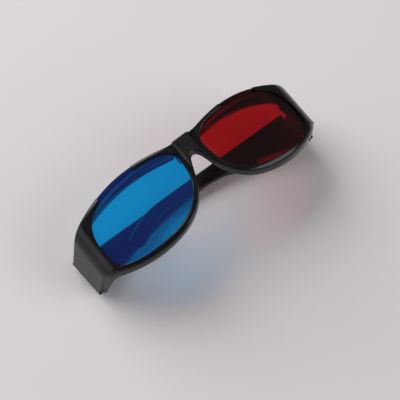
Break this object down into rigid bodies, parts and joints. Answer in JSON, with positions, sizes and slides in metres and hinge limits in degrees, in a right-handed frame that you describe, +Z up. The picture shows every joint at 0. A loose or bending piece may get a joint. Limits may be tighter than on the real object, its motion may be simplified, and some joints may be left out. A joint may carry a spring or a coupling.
{
  "type": "3d glasses",
  "caption": "Wrap-round anaglyph glasses with a black moulded front, a cyan and a red film lens and folding temples, lying folded with the lenses up.",
  "frame": {"origin": "Centre of the bounding box on the table, under the folded glasses", "axes": "X runs across the face with +X at the wearer's left (red lens), +Y is the brow side, +Z is up, out of the front of the lenses. The rest pose is folded, lying on the right temple."},
  "size_m": [0.1486, 0.044, 0.0532],
  "materials": {
    "frame_plastic": "moulded, glossy",
    "cyan_film": "clear dyed film",
    "red_film": "clear dyed film",
    "pin_steel": "drawn wire"
  },
  "bodies": {
    "front": {"front_frame": "frame_plastic", "right_lens": "cyan_film", "left_lens": "red_film", "right_hinge_pin": "pin_steel", "left_hinge_pin": "pin_steel"},
    "right_temple": {"right_temple": "frame_plastic"},
    "left_temple": {"left_temple": "frame_plastic"}
  },
  "joints": [
    {"name": "right_temple_fold", "type": "hinge", "parent": "front", "child": "right_temple", "pos_m": [-0.07028, 0.00175, 0.0042], "axis": [0, 1, 0], "range_deg": [0, 88.5]},
    {"name": "left_temple_fold", "type": "hinge", "parent": "front", "child": "left_temple", "pos_m": [0.07028, 0.00175, 0.0079], "axis": [0, -1, 0], "range_deg": [0, 91.5]}
  ]
}
